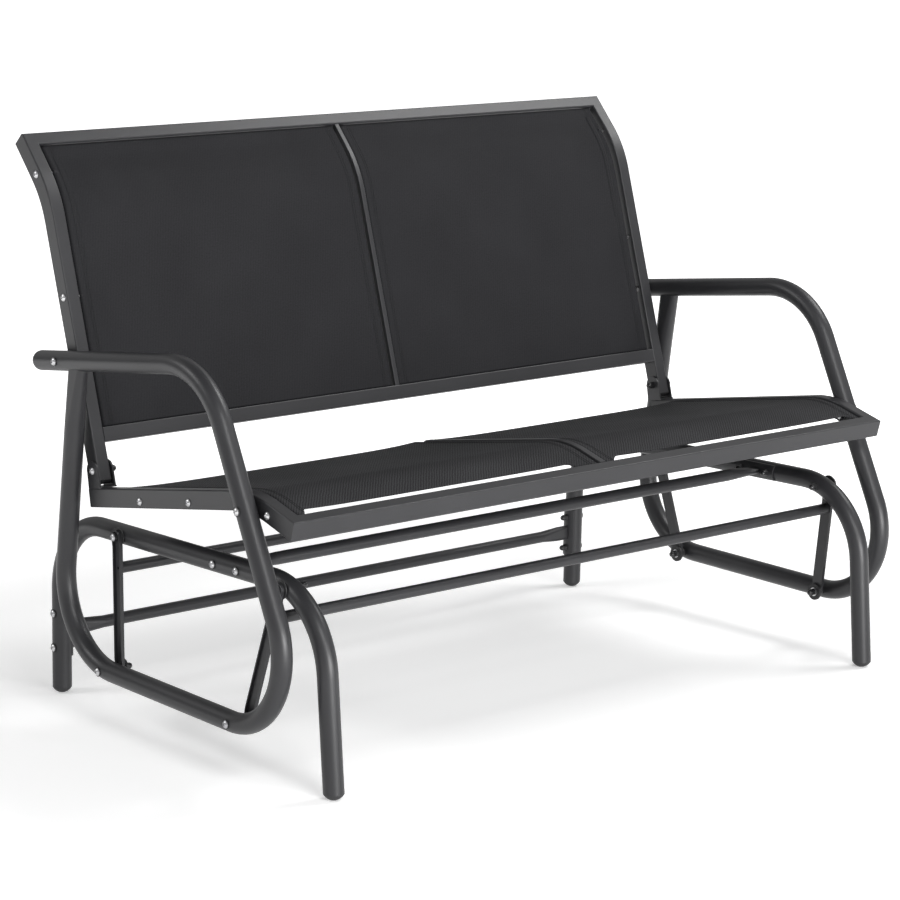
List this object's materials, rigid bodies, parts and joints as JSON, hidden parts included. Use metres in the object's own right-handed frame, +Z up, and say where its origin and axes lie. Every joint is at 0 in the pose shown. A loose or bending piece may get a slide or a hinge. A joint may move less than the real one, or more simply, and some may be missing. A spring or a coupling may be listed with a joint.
{
  "type": "porch glider bench",
  "caption": "Outdoor glider bench: a sling seat and back on a tube frame that hangs by four links from a standing tube base.",
  "frame": {"origin": "on the floor, at the centre of the footprint", "axes": "+X to the right of a person facing the bench, +Y to the back, +Z up"},
  "size_m": [1.2266, 0.7205, 0.8634],
  "materials": {
    "powder_coat": "satin charcoal powder coat",
    "zinc": "bright zinc plate",
    "black_nut": "gloss black",
    "black_plastic": "matte black moulding",
    "rod_steel": "black painted rod",
    "seat_sling": "woven coated polyester",
    "back_sling": "woven coated polyester"
  },
  "bodies": {
    "base": {"base_side_left": "powder_coat", "base_side_right": "powder_coat", "foot_cap_front_left": "black_plastic", "foot_cap_front_right": "black_plastic", "foot_cap_rear_left": "black_plastic", "foot_cap_rear_right": "black_plastic", "base_front_crossbar": "powder_coat", "base_rear_crossbar": "powder_coat", "saddle_front_left": "powder_coat", "saddle_front_right": "powder_coat", "saddle_rear_left": "powder_coat", "saddle_rear_right": "powder_coat", "crossbar_bolts": "zinc", "upper_pivot_bolts": "zinc", "base_nuts": "black_nut", "base_washers": "black_plastic"},
    "rear_links": {"rear_link_left": "powder_coat", "rear_link_right": "powder_coat", "rear_link_bar": "powder_coat", "rear_upper_bushes": "black_plastic", "rear_lower_bushes": "black_plastic"},
    "front_links": {"front_link_left": "powder_coat", "front_link_right": "powder_coat", "front_link_bar": "powder_coat", "front_upper_bushes": "black_plastic"},
    "seat": {"arm_loop_left": "powder_coat", "arm_loop_right": "powder_coat", "seat_side_rail_left": "powder_coat", "seat_side_rail_right": "powder_coat", "seat_front_rail": "powder_coat", "seat_rear_rail": "powder_coat", "seat_centre_bar": "powder_coat", "hinge_bracket_left": "powder_coat", "hinge_bracket_right": "powder_coat", "back_side_tube_left": "powder_coat", "back_side_tube_right": "powder_coat", "back_top_rail": "powder_coat", "back_low_rail": "powder_coat", "back_centre_bar": "powder_coat", "back_plug_left": "black_plastic", "back_plug_right": "black_plastic", "seat_rods_left": "rod_steel", "seat_rods_right": "rod_steel", "back_rods_left": "rod_steel", "back_rods_right": "rod_steel", "seat_sling_left": "seat_sling", "seat_sling_right": "seat_sling", "back_sling_left": "back_sling", "back_sling_right": "back_sling", "rod_bolts": "zinc", "arm_bolts": "zinc", "arm_nuts": "zinc", "arm_washers": "black_plastic", "back_pivot_bolts": "zinc", "lower_pivot_bolts": "zinc", "lower_pivot_washers": "zinc", "seat_nuts": "black_nut", "lower_spacers": "black_plastic", "front_lower_bushes": "black_plastic"}
  },
  "joints": [
    {"name": "rear_link_swing", "type": "hinge", "parent": "base", "child": "rear_links", "pos_m": [0, 0.152, 0.2826], "axis": [1, 0, 0], "range_deg": [-12, 12]},
    {"name": "front_link_swing", "type": "hinge", "parent": "base", "child": "front_links", "pos_m": [0, -0.25, 0.2797], "axis": [1, 0, 0], "range_deg": [-12, 12]},
    {"name": "seat_swing", "type": "hinge", "parent": "rear_links", "child": "seat", "pos_m": [0, 0.117, 0.095], "axis": [1, 0, 0], "range_deg": [-15, 15]}
  ],
  "couplings": [
    {"joint": "front_link_swing", "follows": "rear_link_swing", "ratio": 0.982},
    {"joint": "seat_swing", "follows": "rear_link_swing", "ratio": -1.239}
  ]
}
